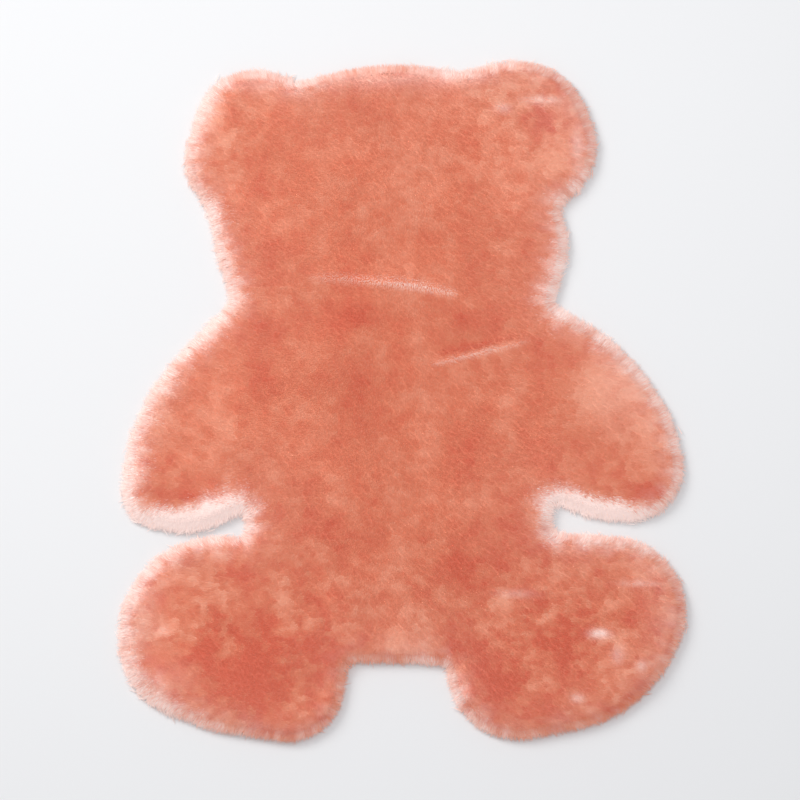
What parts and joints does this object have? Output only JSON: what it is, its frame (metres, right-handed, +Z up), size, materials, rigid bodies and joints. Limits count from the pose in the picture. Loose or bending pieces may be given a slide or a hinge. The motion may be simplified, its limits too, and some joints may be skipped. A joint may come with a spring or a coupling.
{
  "type": "bear shaped rug",
  "caption": "Flat faux-fur floor rug cut to a teddy bear outline, with rounded ears, arms and legs and a soft hairy rim.",
  "frame": {"origin": "on the floor under the middle of the rug's outline", "axes": "+Z up out of the pile, +Y towards the head, +X to the right as one looks down on the rug with its head away from one"},
  "size_m": [0.7476, 0.9146, 0.0308],
  "materials": {
    "fur": "soft matt pile, dyed coral at the tips and pale pink at the roots"
  },
  "bodies": {
    "root": {"fur_rug": "fur"}
  },
  "joints": []
}
